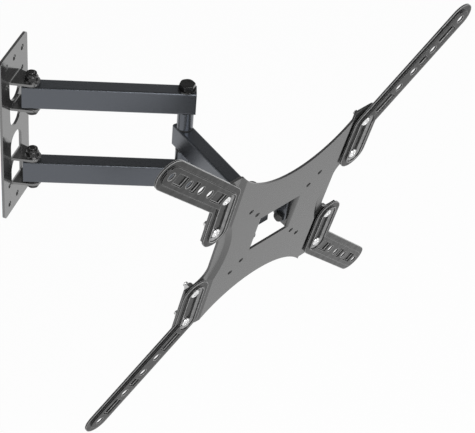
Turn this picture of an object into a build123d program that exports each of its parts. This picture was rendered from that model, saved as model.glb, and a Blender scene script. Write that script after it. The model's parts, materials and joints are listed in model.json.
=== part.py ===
from build123d import *
import os
from math import atan2, cos, degrees, hypot, radians, sin, sqrt

# Full-motion wall mount for a flat screen, in millimetres.
# The origin is the centre of the wall plate's back face. Y points into the wall,
# Z up, and X to the right of someone who faces the wall.
# An arm of two square tubes swings on the wall plate, a single forearm turns on
# the arm's elbow, a bracket swivels on the forearm, and the head plate tilts on
# the bracket. Four extension arms on the head plate reach the screen's bolts.

# Rest pose, in degrees. Turns are about Z, seen from above.
ARM_SWING = 19.2
ELBOW_TURN = -58.5
HEAD_TURN = 11.2
HEAD_TILT = 12.65

# Clearances
RUNNING_GAP = 0.3
BORE_CLEARANCE = 0.05
SEAT_CLEARANCE = 0.02
BOLT_HOLE_CLEARANCE = 0.25

# Bolts and nuts: bevels as shares of the flats or the diameter, then lock nut collars
HEAD_BEVEL_HEIGHT = 0.16
HEAD_BEVEL_WIDTH = 0.11
TIP_BEVEL = 0.1
COLLAR_INSET = 0.6
COLLAR_WALL = 1.0
INSERT_SHARE = 0.8
INSERT_SUNK_SHARE = 0.1

# Wall plate, with two pairs of ears bent out of its windows
WALL_PLATE_WIDTH = 70.0
WALL_PLATE_HEIGHT = 214.0
WALL_PLATE_THICKNESS = 3.0
WALL_PLATE_CORNER = 5.5
WALL_HOLE = 7.0
WALL_HOLE_HEIGHT = 93.5
WALL_HOLE_SIDE = 21.0
INNER_HOLE = 6.0
INNER_HOLE_HEIGHT = 68.0
INNER_HOLE_SIDE = 20.0
EAR_ROOT_WIDTH = 28.0
EAR_TIP_RADIUS = 9.5
EAR_BEND_RADIUS = 1.5
WINDOW_LENGTH = 27.5
PIVOT_AHEAD = 19.5

# Square tubes of the arm and the forearm
TUBE_WIDTH = 18.0
TUBE_HEIGHT = 28.0
TUBE_WALL = 1.5
TUBE_CORNER = 2.0
TUBE_INNER_CORNER = 0.8
ARM_TUBE_SPACING = 102.6
ARM_LENGTH = 166.5
FOREARM_LENGTH = 131.3
TUBE_OVERHANG = 10.5
PLUG_DEPTH = 2.4
PLUG_RECESS = 0.6
PLUG_CLEARANCE = 0.05

# Plastic bushes with a flange, in the turning tube ends
BUSH_WALL = 2.0
BUSH_FLANGE_RADIUS = 9.0
BUSH_FLANGE = 1.2
BUSH_DEPTH = 6.0

# Wall pivot bolts
PIVOT_BOLT = 8.0
PIVOT_HEAD_FLATS = 13.0
PIVOT_HEAD_HEIGHT = 5.3
PIVOT_FLANGE_RADIUS = 8.9
PIVOT_FLANGE_THICKNESS = 1.6
PIVOT_NUT_HEIGHT = 9.5
PIVOT_COLLAR = 2.4

# Elbow and swivel bolts
JOINT_BOLT = 10.0
JOINT_HEAD_FLATS = 16.0
JOINT_HEAD_HEIGHT = 6.4
JOINT_NUT_HEIGHT = 10.0
JOINT_COLLAR = 2.8
JOINT_WASHER_RADIUS = 10.0
JOINT_WASHER = 1.8
SPACER_RADIUS = 9.0
CRUSH_SLEEVE_WALL = 1.4
BOLT_TAIL = 1.5

# Swivel bracket, folded from one sheet
BRACKET_SHEET = 2.5
BRACKET_WEB_GAP = 14.2
BRACKET_TAB_WIDTH = 24.0
BRACKET_BEND = 0.9
CHEEK_HALF_SPACING = 25.0
CHEEK_ROUNDING = 6.8
WEB_DROP = 13.0

# Tilt hardware
TILT_AXIS_FORWARD = 26.1
TILT_AXIS_UP = 14.9
TILT_AXIS_BACK = 14.0
TILT_AXIS_ABOVE = 12.0
LOCK_BOLT_BACK = 10.5
LOCK_BOLT_BELOW = 14.5
TILT_UP_LIMIT = 5.0
TILT_DOWN_LIMIT = 15.0
TILT_BOLT = 6.0
TILT_HEAD_FLATS = 10.0
TILT_HEAD_HEIGHT = 4.0
TILT_NUT_HEIGHT = 7.0
TILT_COLLAR = 1.8
TILT_WASHER_RADIUS = 5.5
TILT_WASHER = 1.2

# Head plate, with stepped-back side strips and two ears bent from its window
PLATE_SHEET = 2.5
PLATE_WAIST = 80.0
PAD_INNER = 79.5
PAD_SIDE = 13.0
PAD_END = 19.0
PAD_CORNER = 8.0
SIDE_CUT = 84.5
SIDE_CUT_CORNER = 20.0
SIDE_CUT_BELOW_SCREW = 9.0
STEP_DEPTH = 3.5
STEP_WIDTH = 6.0
STEP_WAIST = 67.0
STEP_RADIUS = 110.0
STEP_LIMIT = 76.0
PLATE_WINDOW_HEIGHT = 52.0
PLATE_EAR_DEPTH = 24.5
PLATE_EAR_CORNER = 12.0
PLATE_EAR_BEND = 1.0
VESA_SMALL = 75.0
VESA_LARGE = 100.0
VESA_HOLE = 6.0

# Extension arms, pressed from sheet: a flange, a crest above it and a sunk channel
ARM_CORNER = 100.0
ARM_SCREW_PITCH = 50.0
ARM_SHEET = 2.0
ARM_HALF_WIDTH = 17.4
FLANGE_LEVEL = 1.0
CREST_HEIGHT = 1.7
CREST_HALF_WIDTH = 10.6
CREST_SPREAD = 1.0
CHANNEL_HALF_WIDTH = 8.0
CHANNEL_SPREAD = 2.0
POCKET_HALF_WIDTH = 5.2
POCKET_SPREAD = 1.0
POCKET_DEPTH = 2.2
SCREEN_HOLE = 9.0
SCREEN_HOLES = (134.5, 150.0, 171.0, 200.0)
POCKET_MARGIN = 10.5
CORNER_POCKET_MARGIN = 15.0

# Screws of the extension arms
SCREW = 6.0
SCREW_HEAD_RADIUS = 5.5
SCREW_HEAD_HEIGHT = 3.2
SCREW_HEAD_ROUNDING = 1.8
SCREW_TAIL = 10.0
CROSS_LENGTH = 6.2
CROSS_WIDTH = 1.1
CROSS_DEPTH = 1.6
SCREW_NUT_FLATS = 10.0
SCREW_NUT_HEIGHT = 5.0
SCREW_WASHER_RADIUS = 7.0
SCREW_WASHER = 1.2

# Heights and places worked out from the sizes above
tube_offset = ARM_TUBE_SPACING / 2
bush_gap = BUSH_FLANGE + RUNNING_GAP
half_tube = TUBE_HEIGHT / 2
ear_inner = half_tube + bush_gap
tab_inner = half_tube + bush_gap
pivot_depth = WALL_PLATE_THICKNESS + PIVOT_AHEAD
floor_level = ARM_SHEET - STEP_DEPTH
crest_level = FLANGE_LEVEL + CREST_HEIGHT
strip_back = -STEP_DEPTH - PLATE_SHEET
ear_face = CHEEK_HALF_SPACING + TILT_WASHER + RUNNING_GAP

# Moving frames, from the wall outwards
arm_frame = Pos(0, -pivot_depth, 0) * Rot(0, 0, ARM_SWING)
forearm_frame = arm_frame * Pos(0, -ARM_LENGTH, 0) * Rot(0, 0, ELBOW_TURN)
bracket_frame = forearm_frame * Pos(0, -FOREARM_LENGTH, 0) * Rot(0, 0, HEAD_TURN)
tilt_frame = bracket_frame * Pos(0, -TILT_AXIS_FORWARD, TILT_AXIS_UP)
plate_frame = tilt_frame * Rot(HEAD_TILT, 0, 0) * Pos(0, -TILT_AXIS_BACK, -TILT_AXIS_ABOVE)
# The face frame has X to the plate's right, Y up the plate and Z out of its front.
face_frame = plate_frame * Rot(90, 0, 0)


def block(x0, x1, y0, y1, z0, z1):
    """Box between two corners."""
    centre = Pos((x0 + x1) / 2, (y0 + y1) / 2, (z0 + z1) / 2)
    return centre * Box(x1 - x0, y1 - y0, z1 - z0)


def rod(radius, z0, z1, x=0.0, y=0.0):
    """Upright cylinder between two heights."""
    return Pos(x, y, (z0 + z1) / 2) * Cylinder(radius, z1 - z0)


def ring(outer, inner, z0, z1):
    """Upright cylinder with a bore."""
    return rod(outer, z0, z1) - rod(inner, z0, z1)


def bolt_head(flats, height):
    """Hexagon from z = 0 upwards, its top corners turned off."""
    hexagon = RegularPolygon(flats / 2, 6, major_radius=False)
    corner_radius = hexagon.vertices()[0].center().length
    blank = rod(corner_radius, 0, height)
    blank = chamfer(blank.edges().group_by(Axis.Z)[-1], HEAD_BEVEL_HEIGHT * flats, HEAD_BEVEL_WIDTH * flats)
    return blank & extrude(hexagon, height)


def lock_nut(flats, height, bore, collar, flange_radius=0.0, flange=0.0):
    """Hexagon nut with a round collar on top, open for a plastic insert."""
    collar_radius = flats / 2 - COLLAR_INSET
    hex_top = height - collar
    nut = bolt_head(flats, hex_top) + rod(collar_radius, hex_top / 2, height)
    nut -= rod(bore / 2 + SEAT_CLEARANCE, 0, height)
    nut -= rod(insert_radius(flats), height - collar * INSERT_SHARE, height)
    if flange > 0:
        skirt = Pos(0, 0, flange / 2) * Cone(flange_radius, flange_radius - flange, flange)
        nut += skirt - rod(bore / 2 + SEAT_CLEARANCE, 0, flange)
    return nut


def insert_radius(flats):
    """Outer radius of a lock nut's plastic ring."""
    return flats / 2 - COLLAR_INSET - COLLAR_WALL


def nut_insert(flats, height, bore, collar):
    """Plastic ring that sits in a lock nut's collar."""
    low = height - collar * INSERT_SHARE
    top = height - collar * INSERT_SUNK_SHARE
    return ring(insert_radius(flats) - SEAT_CLEARANCE, bore / 2 + SEAT_CLEARANCE, low, top)


def hex_bolt(diameter, flats, head_height, length):
    """Bolt with its head above z = 0 and its shank below."""
    shank = rod(diameter / 2, -length, 0)
    tip = shank.edges().group_by(Axis.Z)[0]
    return bolt_head(flats, head_height) + chamfer(tip, TIP_BEVEL * diameter)


def square_tube(length):
    """Tube along -Y, from its first pivot's end to its last pivot's end."""
    outline = RectangleRounded(TUBE_WIDTH, TUBE_HEIGHT, TUBE_CORNER)
    hollow_width = TUBE_WIDTH - 2 * TUBE_WALL
    hollow_height = TUBE_HEIGHT - 2 * TUBE_WALL
    outline -= RectangleRounded(hollow_width, hollow_height, TUBE_INNER_CORNER)
    run = length + 2 * TUBE_OVERHANG
    return Pos(0, TUBE_OVERHANG, 0) * extrude(Plane.XZ * outline, run)


def cross_hole(body, diameter, y):
    """Body with an upright hole right through it."""
    return body - rod(diameter / 2, -TUBE_HEIGHT, TUBE_HEIGHT, 0, y)


def tube_plugs(length):
    """Two plugs, one in each end of a tube."""
    width = TUBE_WIDTH - 2 * (TUBE_WALL + PLUG_CLEARANCE)
    height = TUBE_HEIGHT - 2 * (TUBE_WALL + PLUG_CLEARANCE)
    outline = Plane.XZ * RectangleRounded(width, height, TUBE_INNER_CORNER)
    plug = extrude(outline, PLUG_DEPTH)
    near = Pos(0, TUBE_OVERHANG - PLUG_RECESS, 0) * plug
    far = Pos(0, PLUG_DEPTH + PLUG_RECESS - TUBE_OVERHANG - length, 0) * plug
    return [near, far]


def flanged_bush(bore):
    """Bush that enters the tube's top wall, its flange outside."""
    inner = bore / 2 + BORE_CLEARANCE
    outer = bush_radius(bore)
    barrel = ring(outer - SEAT_CLEARANCE, inner, half_tube - BUSH_DEPTH, half_tube)
    return barrel + ring(BUSH_FLANGE_RADIUS, inner, half_tube, half_tube + BUSH_FLANGE)


def bush_radius(bore):
    """Radius of the hole that a bush is pressed into."""
    return bore / 2 + BUSH_WALL


def bush_pair(bore, y):
    """Bushes at the top and bottom of a tube."""
    top = flanged_bush(bore)
    return [Pos(0, y, 0) * top, Pos(0, y, 0) * Rot(180, 0, 0) * top]


def ear_outline():
    """Ear seen from above: a root as wide as its window and a round tip."""
    half = EAR_ROOT_WIDTH / 2
    reach = hypot(half, PIVOT_AHEAD)
    lean = atan2(PIVOT_AHEAD, half)
    # The side leaves the root's corner and is tangent to the tip's circle.
    turn = atan2(EAR_TIP_RADIUS, sqrt(reach**2 - EAR_TIP_RADIUS**2))
    side = lean + turn
    run = sqrt(reach**2 - EAR_TIP_RADIUS**2)
    touch_x = half - run * cos(side)
    touch_y = -WALL_PLATE_THICKNESS - run * sin(side)
    root = -WALL_PLATE_THICKNESS
    sides = make_face(Polyline(
        (-half, 0), (half, 0), (half, root), (touch_x, touch_y),
        (-touch_x, touch_y), (-half, root), close=True))
    return sides + Pos(0, -pivot_depth) * Circle(EAR_TIP_RADIUS)


def ear_pair(centre, direction):
    """Two ears around one tube and the windows that they were bent from."""
    half = EAR_ROOT_WIDTH / 2
    sheet = WALL_PLATE_THICKNESS
    outer_bend = EAR_BEND_RADIUS + sheet
    ears = []
    windows = []
    for side in (1, -1):
        # Each window hangs on the side of its ear that faces the plate's centre.
        ear_low = centre + side * ear_inner - (sheet if side < 0 else 0)
        ear_face_z = ear_low if direction > 0 else ear_low + sheet
        back = ear_face_z + direction * sheet
        ear = extrude(Pos(0, 0, ear_low) * ear_outline(), sheet)
        corner = block(-half, half, -sheet - EAR_BEND_RADIUS, -sheet,
                       min(back, back + direction * EAR_BEND_RADIUS),
                       max(back, back + direction * EAR_BEND_RADIUS))
        hollow_z = back + direction * EAR_BEND_RADIUS
        hollow_y = -sheet - EAR_BEND_RADIUS
        hollow = Pos(0, hollow_y, hollow_z) * Rot(0, 90, 0)
        corner -= hollow * Cylinder(EAR_BEND_RADIUS, EAR_ROOT_WIDTH)
        ears.append(ear + corner)
        round_z = ear_face_z - direction * (WINDOW_LENGTH - half)
        opening = block(-half, half, -sheet, 0, min(round_z, ear_face_z), max(round_z, ear_face_z))
        opening += Pos(0, -sheet / 2, round_z) * Rot(90, 0, 0) * Cylinder(half, sheet)
        rounding = block(-half, half, -outer_bend, 0,
                         min(ear_face_z, ear_face_z + direction * outer_bend),
                         max(ear_face_z, ear_face_z + direction * outer_bend))
        outer = Pos(0, -outer_bend, ear_face_z + direction * outer_bend) * Rot(0, 90, 0)
        rounding -= outer * Cylinder(outer_bend, EAR_ROOT_WIDTH)
        windows.append(opening)
        windows.append(rounding)
    return ears, windows


def wall_plate():
    """Plate on the wall, with its windows, ears and screw holes."""
    outline = RectangleRounded(WALL_PLATE_WIDTH, WALL_PLATE_HEIGHT, WALL_PLATE_CORNER)
    plate = extrude(Plane.XZ * outline, WALL_PLATE_THICKNESS)
    ears = []
    for direction in (1, -1):
        pair, windows = ear_pair(direction * tube_offset, direction)
        ears += pair
        for window in windows[0::2]:
            plate -= window
        for ear, rounding in zip(pair, windows[1::2]):
            plate += ear
            plate -= rounding
    for x in (-WALL_HOLE_SIDE, 0, WALL_HOLE_SIDE):
        for z in (-WALL_HOLE_HEIGHT, WALL_HOLE_HEIGHT):
            plate -= Pos(x, 0, z) * Rot(90, 0, 0) * Cylinder(WALL_HOLE / 2, 3 * WALL_PLATE_THICKNESS)
    for x in (-INNER_HOLE_SIDE, INNER_HOLE_SIDE):
        for z in (-INNER_HOLE_HEIGHT, INNER_HOLE_HEIGHT):
            plate -= Pos(x, 0, z) * Rot(90, 0, 0) * Cylinder(INNER_HOLE / 2, 3 * WALL_PLATE_THICKNESS)
    bolt_hole = PIVOT_BOLT / 2 + BOLT_HOLE_CLEARANCE
    reach = WALL_PLATE_HEIGHT / 2
    return plate - rod(bolt_hole, -reach, reach, 0, -pivot_depth)


def pivot_hardware():
    """Bolts, nuts and inserts of the two wall pivots."""
    ear_out = ear_inner + WALL_PLATE_THICKNESS
    length = 2 * ear_out + PIVOT_NUT_HEIGHT + BOLT_TAIL
    bolt = Rot(180, 0, 0) * hex_bolt(PIVOT_BOLT, PIVOT_HEAD_FLATS, PIVOT_HEAD_HEIGHT, length)
    nut = lock_nut(PIVOT_HEAD_FLATS, PIVOT_NUT_HEIGHT, PIVOT_BOLT, PIVOT_COLLAR,
                   PIVOT_FLANGE_RADIUS, PIVOT_FLANGE_THICKNESS)
    insert = nut_insert(PIVOT_HEAD_FLATS, PIVOT_NUT_HEIGHT, PIVOT_BOLT, PIVOT_COLLAR)
    centres = [Pos(0, -pivot_depth, side * tube_offset) for side in (1, -1)]
    return {
        "pivot_bolts": [centre * Pos(0, 0, -ear_out) * bolt for centre in centres],
        "pivot_nuts": [centre * Pos(0, 0, ear_out) * nut for centre in centres],
        "pivot_nut_inserts": [centre * Pos(0, 0, ear_out) * insert for centre in centres],
    }


def arm_parts():
    """Two arm tubes with what is fixed in and on them."""
    tube = square_tube(ARM_LENGTH)
    tube = cross_hole(tube, 2 * bush_radius(PIVOT_BOLT), 0)
    tube = cross_hole(tube, JOINT_BOLT + 2 * BOLT_HOLE_CLEARANCE, -ARM_LENGTH)
    sleeve_bore = JOINT_BOLT / 2 + BOLT_HOLE_CLEARANCE
    sleeve_half = half_tube - TUBE_WALL
    sleeve = ring(sleeve_bore + CRUSH_SLEEVE_WALL, sleeve_bore, -sleeve_half, sleeve_half)
    elbow = Pos(0, -ARM_LENGTH, 0)
    levels = [Pos(0, 0, side * tube_offset) for side in (1, -1)]
    spacer_low = half_tube + bush_gap
    spacer = ring(SPACER_RADIUS, sleeve_bore, spacer_low, tube_offset - half_tube)
    stack = tube_offset + half_tube
    washer = ring(JOINT_WASHER_RADIUS, sleeve_bore, stack, stack + JOINT_WASHER)
    bolt_seat = stack + JOINT_WASHER
    length = 2 * bolt_seat + JOINT_NUT_HEIGHT + BOLT_TAIL
    bolt = hex_bolt(JOINT_BOLT, JOINT_HEAD_FLATS, JOINT_HEAD_HEIGHT, length)
    nut = lock_nut(JOINT_HEAD_FLATS, JOINT_NUT_HEIGHT, JOINT_BOLT, JOINT_COLLAR)
    insert = nut_insert(JOINT_HEAD_FLATS, JOINT_NUT_HEIGHT, JOINT_BOLT, JOINT_COLLAR)
    under = elbow * Pos(0, 0, -bolt_seat) * Rot(180, 0, 0)
    flip = Rot(180, 0, 0)
    parts = {
        "arm_tube_upper": [levels[0] * tube],
        "arm_tube_lower": [levels[1] * tube],
        "wall_pivot_bushes": [level * bush for level in levels for bush in bush_pair(PIVOT_BOLT, 0)],
        "arm_end_plugs": [level * plug for level in levels for plug in tube_plugs(ARM_LENGTH)],
        "arm_crush_sleeves": [level * elbow * sleeve for level in levels],
        "elbow_spacers": [elbow * spacer, elbow * flip * spacer],
        "elbow_washers": [elbow * washer, elbow * flip * washer],
        "elbow_bolt": [elbow * Pos(0, 0, bolt_seat) * bolt],
        "elbow_nut": [under * nut],
        "elbow_nut_insert": [under * insert],
    }
    return placed(parts, arm_frame)


def forearm_parts():
    """Forearm tube with its bushes and end plugs."""
    tube = square_tube(FOREARM_LENGTH)
    bushes = []
    for y in (0, -FOREARM_LENGTH):
        tube = cross_hole(tube, 2 * bush_radius(JOINT_BOLT), y)
        bushes += bush_pair(JOINT_BOLT, y)
    parts = {
        "forearm_tube": [tube],
        "forearm_bushes": bushes,
        "forearm_end_plugs": tube_plugs(FOREARM_LENGTH),
    }
    return placed(parts, forearm_frame)


def tilt_points():
    """Tilt axis and lock bolt in the bracket frame, as forward and up."""
    tilt = radians(HEAD_TILT)
    ahead = TILT_AXIS_BACK - LOCK_BOLT_BACK
    below = TILT_AXIS_ABOVE + LOCK_BOLT_BELOW
    lock_forward = TILT_AXIS_FORWARD + ahead * cos(tilt) - below * sin(tilt)
    lock_up = TILT_AXIS_UP - below * cos(tilt) - ahead * sin(tilt)
    return (TILT_AXIS_FORWARD, TILT_AXIS_UP), (lock_forward, lock_up)


def across(forward, up):
    """Place on the bracket whose Z axis runs across it, along X."""
    return Pos(0, -forward, up) * Rot(0, 90, 0)


def bracket_channel():
    """Web with a tab above and a tab below the forearm's end."""
    outer_bend = BRACKET_BEND + BRACKET_SHEET
    web_front = BRACKET_WEB_GAP + BRACKET_SHEET
    tab_outer = tab_inner + BRACKET_SHEET
    half = BRACKET_TAB_WIDTH / 2
    # The section lies in the YZ plane, with the web at its front end.
    outside = Pos(-web_front / 2, 0) * RectangleRounded(web_front, 2 * tab_outer, outer_bend)
    outside += Pos(half / 2 - web_front / 4, 0) * Rectangle(half + web_front / 2, 2 * tab_outer)
    inside = Pos(-BRACKET_WEB_GAP / 2, 0) * RectangleRounded(BRACKET_WEB_GAP, 2 * tab_inner, BRACKET_BEND)
    inside += Pos(half / 2 - BRACKET_WEB_GAP / 4, 0) * Rectangle(half + BRACKET_WEB_GAP / 2, 2 * tab_inner)
    channel = Pos(-half, 0, 0) * extrude(Plane.YZ * (outside - inside), 2 * half)
    plan = block(-half, half, -web_front, 0, -tab_outer, tab_outer)
    return channel & (plan + rod(half, -tab_outer, tab_outer))


def bracket_cheeks():
    """Side wings of the web, each bent forward as a cheek around the tilt bolts."""
    (axis_forward, axis_up), (lock_forward, lock_up) = tilt_points()
    outer_bend = BRACKET_BEND + BRACKET_SHEET
    web_front = BRACKET_WEB_GAP + BRACKET_SHEET
    half = CHEEK_HALF_SPACING
    top = axis_up + CHEEK_ROUNDING
    low = lock_up - CHEEK_ROUNDING
    reach = axis_forward + CHEEK_ROUNDING
    # Plan section: web and cheeks make a U that opens to the front.
    depth = reach - BRACKET_WEB_GAP
    outside = Pos(0, -BRACKET_WEB_GAP - depth / 2) * RectangleRounded(2 * half, depth, outer_bend)
    outside += Pos(0, -reach + depth / 4) * Rectangle(2 * half, depth / 2)
    inner = half - BRACKET_SHEET
    pocket_depth = reach - web_front
    inside = Pos(0, -web_front - pocket_depth / 2) * RectangleRounded(2 * inner, pocket_depth, BRACKET_BEND)
    inside += Pos(0, -reach + pocket_depth / 4) * Rectangle(2 * inner, pocket_depth / 2)
    channel = Pos(0, 0, low) * extrude(outside - inside, top - low)
    # Side view: a strap around the two bolts, joined to the web.
    strap = make_hull(
        (Pos(-axis_forward, axis_up) * Circle(CHEEK_ROUNDING)).edges()
        + (Pos(-lock_forward, lock_up) * Circle(CHEEK_ROUNDING)).edges())
    # The web ends higher than the cheeks, so that the window stays clear.
    web_low = axis_up - WEB_DROP
    back_block = Pos(-(BRACKET_WEB_GAP + lock_forward) / 2, (top + web_low) / 2)
    back_block *= Rectangle(lock_forward - BRACKET_WEB_GAP, top - web_low)
    side_view = Pos(-half, 0, 0) * extrude(Plane.YZ * (strap + back_block), 2 * half)
    return channel & side_view


def bracket_parts():
    """Swivel bracket with its swivel bolt and its tilt hardware."""
    bracket = bracket_channel() + bracket_cheeks()
    swivel_hole = JOINT_BOLT / 2 + BOLT_HOLE_CLEARANCE
    bracket -= rod(swivel_hole, -TUBE_HEIGHT, TUBE_HEIGHT)
    tilt_hole = TILT_BOLT / 2 + BOLT_HOLE_CLEARANCE
    places = [across(*point) for point in tilt_points()]
    for place in places:
        bracket -= place * Cylinder(tilt_hole, 3 * CHEEK_HALF_SPACING)
    seat = tab_inner + BRACKET_SHEET
    washer = ring(JOINT_WASHER_RADIUS, swivel_hole, seat, seat + JOINT_WASHER)
    bolt_seat = seat + JOINT_WASHER
    length = 2 * bolt_seat + JOINT_NUT_HEIGHT + BOLT_TAIL
    under = Pos(0, 0, -bolt_seat) * Rot(180, 0, 0)
    flip = Rot(180, 0, 0)
    cheek_inside = CHEEK_HALF_SPACING - BRACKET_SHEET
    ear_outside = ear_face + PLATE_SHEET
    nut_seat = ear_outside + RUNNING_GAP + TILT_WASHER
    tilt_length = nut_seat - cheek_inside + TILT_NUT_HEIGHT + BOLT_TAIL
    tilt_bolt = hex_bolt(TILT_BOLT, TILT_HEAD_FLATS, TILT_HEAD_HEIGHT, tilt_length)
    tilt_bolt = Pos(0, 0, cheek_inside) * Rot(180, 0, 0) * tilt_bolt
    tilt_nut = Pos(0, 0, nut_seat) * lock_nut(TILT_HEAD_FLATS, TILT_NUT_HEIGHT, TILT_BOLT, TILT_COLLAR)
    inner_washer = ring(TILT_WASHER_RADIUS, tilt_hole, CHEEK_HALF_SPACING, CHEEK_HALF_SPACING + TILT_WASHER)
    outer_washer = ring(TILT_WASHER_RADIUS, tilt_hole, ear_outside + RUNNING_GAP, nut_seat)
    sides = [place * turn for place in places for turn in (Rot(0, 0, 0), Rot(180, 0, 0))]
    parts = {
        "head_bracket": [bracket],
        "swivel_bolt": [Pos(0, 0, bolt_seat) * hex_bolt(JOINT_BOLT, JOINT_HEAD_FLATS, JOINT_HEAD_HEIGHT, length)],
        "swivel_nut": [under * lock_nut(JOINT_HEAD_FLATS, JOINT_NUT_HEIGHT, JOINT_BOLT, JOINT_COLLAR)],
        "swivel_nut_insert": [under * nut_insert(JOINT_HEAD_FLATS, JOINT_NUT_HEIGHT, JOINT_BOLT, JOINT_COLLAR)],
        "swivel_washers": [washer, flip * washer],
        "tilt_bolts": [side * tilt_bolt for side in sides],
        "tilt_nuts": [side * tilt_nut for side in sides],
        "tilt_friction_washers": [side * inner_washer for side in sides],
        "tilt_washers": [side * outer_washer for side in sides],
    }
    return placed(parts, bracket_frame)


def pad_corner():
    """Far corner of the head plate's pads, as X and Y in the face frame."""
    return ARM_CORNER + PAD_SIDE, ARM_CORNER + PAD_END


def plate_outline():
    """Head plate seen from the front: four pads joined by hollow curves."""
    pad_x, pad_y = pad_corner()
    outline = RectangleRounded(2 * pad_x, 2 * pad_y, PAD_CORNER)
    rise = pad_y - PLATE_WAIST
    arc_radius = (PAD_INNER**2 + rise**2) / (2 * rise)
    cut_half = ARM_CORNER - ARM_SCREW_PITCH - SIDE_CUT_BELOW_SCREW
    cut_width = 2 * (pad_x - SIDE_CUT) + 2 * SIDE_CUT_CORNER
    for side in (1, -1):
        outline -= Pos(0, side * (PLATE_WAIST + arc_radius)) * Circle(arc_radius)
        cut = RectangleRounded(cut_width, 2 * cut_half, SIDE_CUT_CORNER)
        outline -= Pos(side * (SIDE_CUT + cut_width / 2), 0) * cut
    return outline


def behind_front():
    """Everything behind the head plate's front surface, strips stepped back."""
    pad_x, pad_y = pad_corner()
    reach = 2 * pad_y
    bottom = -4 * (STEP_DEPTH + PLATE_SHEET)
    raised = block(-pad_x, pad_x, -pad_y, pad_y, -STEP_DEPTH, 0)
    base = block(-pad_x, pad_x, -pad_y, pad_y, bottom, -STEP_DEPTH)
    for side in (1, -1):
        # Cone whose edge is the curved step between the two screws' strips.
        centre = Pos(side * (STEP_WAIST + STEP_RADIUS), 0, -STEP_DEPTH / 2)
        raised -= centre * Cone(STEP_RADIUS - STEP_WIDTH, STEP_RADIUS, STEP_DEPTH)
        slope = Polyline((STEP_LIMIT, 0), (reach, 0), (reach, -STEP_DEPTH),
                         (STEP_LIMIT + STEP_WIDTH, -STEP_DEPTH), close=True)
        wedge = extrude(Plane.XZ * make_face(slope), reach, both=True)
        raised -= wedge if side > 0 else mirror(wedge, Plane.YZ)
    return base + raised


def plate_ear():
    """Ear at the right edge of the window, bent back, with its bolt hole and slot."""
    half = PLATE_WINDOW_HEIGHT / 2
    outer_bend = PLATE_EAR_BEND + PLATE_SHEET
    # Plan section in the XZ plane: the ear, and the bend that joins it to the plate.
    inner_face = ear_face
    section = make_face(Polyline(
        (inner_face, -outer_bend), (inner_face, -PLATE_EAR_DEPTH),
        (inner_face + PLATE_SHEET, -PLATE_EAR_DEPTH), (inner_face + PLATE_SHEET, -outer_bend), close=True))
    bend_centre = Pos(inner_face + outer_bend, -outer_bend)
    quarter = bend_centre * (Circle(outer_bend) - Circle(PLATE_EAR_BEND))
    corner = Pos(inner_face + outer_bend / 2, -outer_bend / 2) * Rectangle(outer_bend, outer_bend)
    section += quarter & corner
    ear = extrude(Plane.XZ * section, half, both=True)
    # Side view rounds the two back corners; its middle is on the plate's front.
    side_view = RectangleRounded(2 * PLATE_EAR_DEPTH, PLATE_WINDOW_HEIGHT, PLATE_EAR_CORNER)
    return ear & extrude(Rot(0, 90, 0) * side_view, 2 * ARM_CORNER)


def lock_slot():
    """Slot in both ears that the lock bolts travel in, an arc about the tilt axis."""
    ahead = TILT_AXIS_BACK - LOCK_BOLT_BACK
    below = TILT_AXIS_ABOVE + LOCK_BOLT_BELOW
    radius = hypot(ahead, below)
    rest = atan2(-below, ahead)
    width = TILT_BOLT + 2 * (RUNNING_GAP + BOLT_HOLE_CLEARANCE)
    low = radians(TILT_DOWN_LIMIT - HEAD_TILT)
    high = radians(TILT_UP_LIMIT + HEAD_TILT)
    angles = (rest + low, rest + (low - high) / 2, rest - high)
    points = [(radius * cos(angle), radius * sin(angle)) for angle in angles]
    slot = SlotArc(ThreePointArc(*points), width)
    # The arc is drawn as forward and up from the tilt axis.
    return slot


def vesa_plate():
    """Head plate with its stepped strips, window, ears and holes."""
    sheet = behind_front()
    sheet -= Pos(0, 0, -PLATE_SHEET) * behind_front()
    depth = STEP_DEPTH + PLATE_SHEET
    plate = sheet & extrude(Pos(0, 0, -2 * depth) * plate_outline(), 3 * depth)
    outer_bend = PLATE_EAR_BEND + PLATE_SHEET
    window_half = ear_face + outer_bend
    ear_half = PLATE_WINDOW_HEIGHT / 2
    plate -= block(-window_half, window_half, -ear_half, ear_half, -PLATE_SHEET, 0)
    ear = plate_ear()
    ears = [ear, mirror(ear, Plane.YZ)]
    for one in ears:
        plate += one
    across_face = Pos(0, TILT_AXIS_ABOVE, -TILT_AXIS_BACK) * Rot(0, 90, 0)
    plate -= across_face * Cylinder(TILT_BOLT / 2 + BORE_CLEARANCE, 4 * CHEEK_HALF_SPACING)
    slot_plane = Plane(origin=(0, TILT_AXIS_ABOVE, -TILT_AXIS_BACK), x_dir=(0, 0, 1), z_dir=(-1, 0, 0))
    plate -= extrude(slot_plane * lock_slot(), 2 * CHEEK_HALF_SPACING, both=True)
    hole = Cylinder(VESA_HOLE / 2, 4 * PLATE_SHEET)
    for spacing in (VESA_SMALL, VESA_LARGE):
        for x in (-spacing / 2, spacing / 2):
            for y in (-spacing / 2, spacing / 2):
                plate -= Pos(x, y, 0) * hole
    for x, y in screw_places():
        plate -= Pos(x, y, 0) * Cylinder(SCREW / 2 + BOLT_HOLE_CLEARANCE, 4 * depth)
    return plate


def screw_places():
    """Centres of the eight screws on the head plate's pads."""
    inner = ARM_CORNER - ARM_SCREW_PITCH
    return [(sx * ARM_CORNER, sy * y) for sx in (1, -1) for sy in (1, -1) for y in (inner, ARM_CORNER)]


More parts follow.
